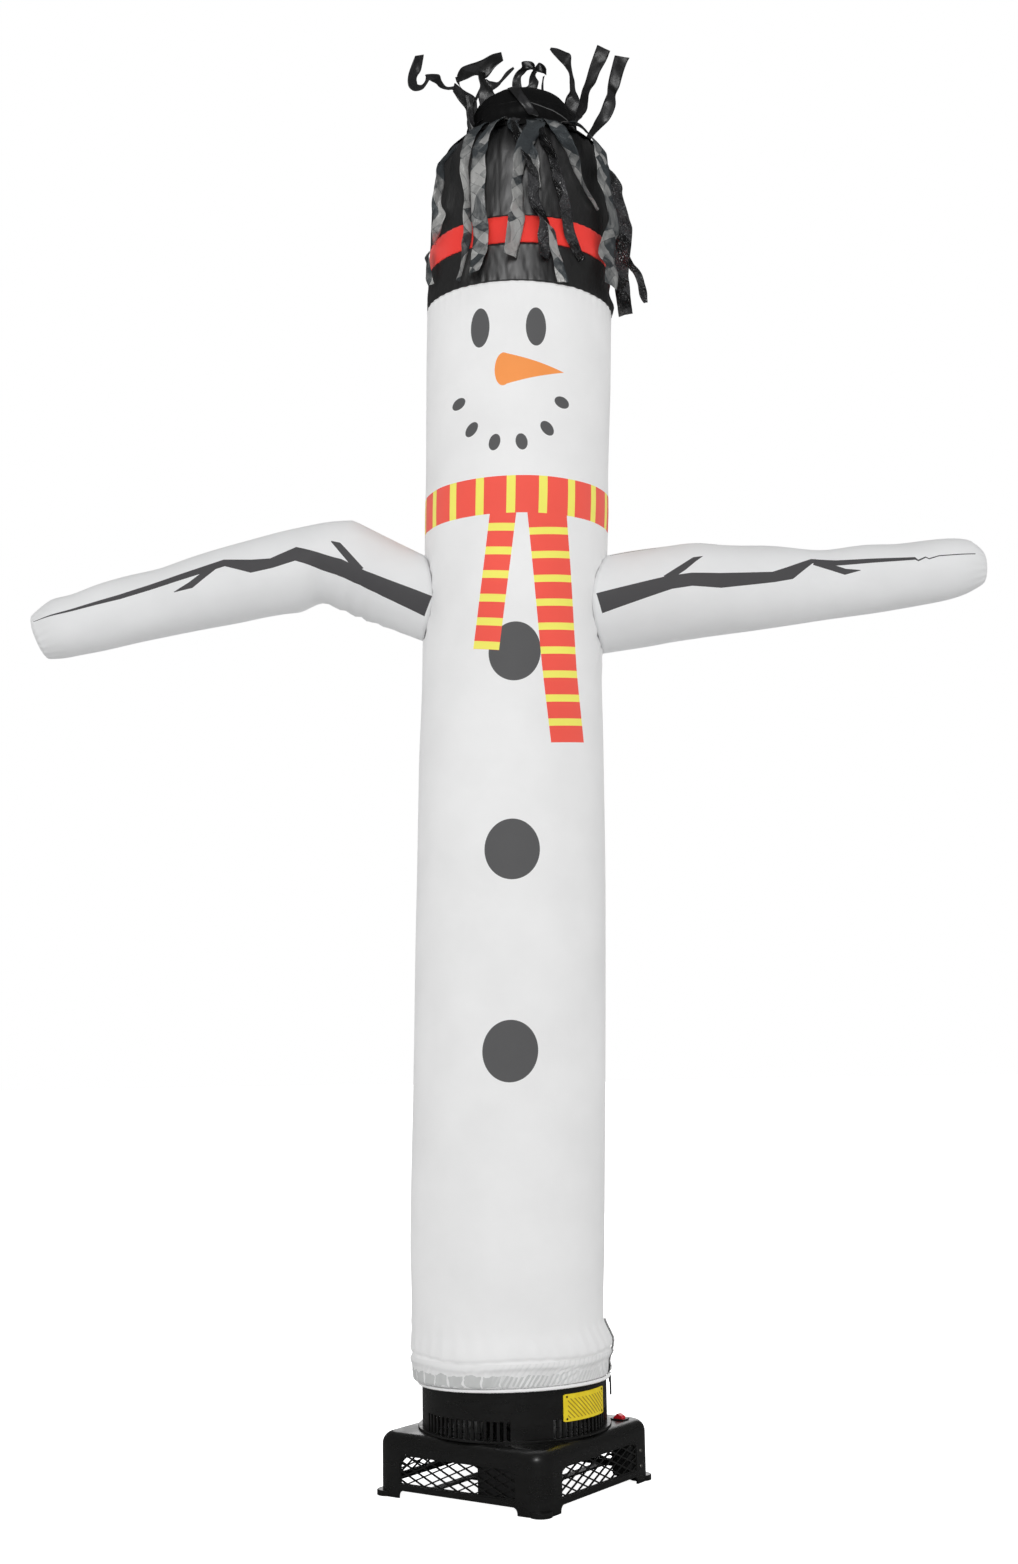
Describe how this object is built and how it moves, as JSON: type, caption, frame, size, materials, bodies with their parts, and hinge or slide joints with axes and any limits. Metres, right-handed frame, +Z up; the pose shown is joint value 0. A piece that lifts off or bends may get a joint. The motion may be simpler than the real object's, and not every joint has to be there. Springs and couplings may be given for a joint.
{
  "type": "inflatable air dancer on a blower",
  "caption": "Printed cloth tube figure with arms, a hat and streamers, blown up and standing on a low square electric blower.",
  "frame": {"origin": "on the floor, under the middle of the blower", "axes": "+Z up, the figure's face towards -Y, its arms along X"},
  "size_m": [1.5577, 0.4216, 2.3685],
  "materials": {
    "white_cloth": "coated woven nylon, slightly shiny",
    "binding": "gathered hem edge",
    "black_cloth": "coated woven nylon, slightly shiny",
    "red_cloth": "coated woven nylon, slightly shiny",
    "silver_cloth": "dark grey metallic streamer cloth",
    "black_plastic": "semi-gloss",
    "motor_metal": "black paint",
    "yellow_plate": "satin, bare",
    "red_plastic": "gloss",
    "screw_steel": "plated",
    "zip_black": "zip tape"
  },
  "bodies": {
    "dancer": {"body_tube": "white_cloth", "hem_binding": "binding", "hat_brim": "black_cloth", "hat_band": "red_cloth", "hat_crown": "black_cloth", "hat_cap": "black_cloth", "zip_tape": "zip_black", "zip_slider": "zip_black", "arm_left": "white_cloth", "arm_right": "white_cloth", "fringe_silver": "silver_cloth", "fringe_black": "black_cloth", "fringe_top": "black_cloth", "blower_housing": "black_plastic", "grille_front_left": "black_plastic", "grille_front_right": "black_plastic", "grille_back_right": "black_plastic", "grille_back_left": "black_plastic", "blower_drum": "black_plastic", "drum_plate": "yellow_plate", "motor_cradle": "motor_metal", "motor_can": "motor_metal", "switch_bezel": "black_plastic", "screw_high": "screw_steel", "screw_low": "screw_steel"},
    "rocker": {"switch_rocker": "red_plastic"}
  },
  "joints": [
    {"name": "switch_hinge", "type": "hinge", "parent": "dancer", "child": "rocker", "pos_m": [0.16316, 0.02377, 0.0901], "axis": [0.5664, 0.8241, 0], "range_deg": [0, 16]}
  ]
}
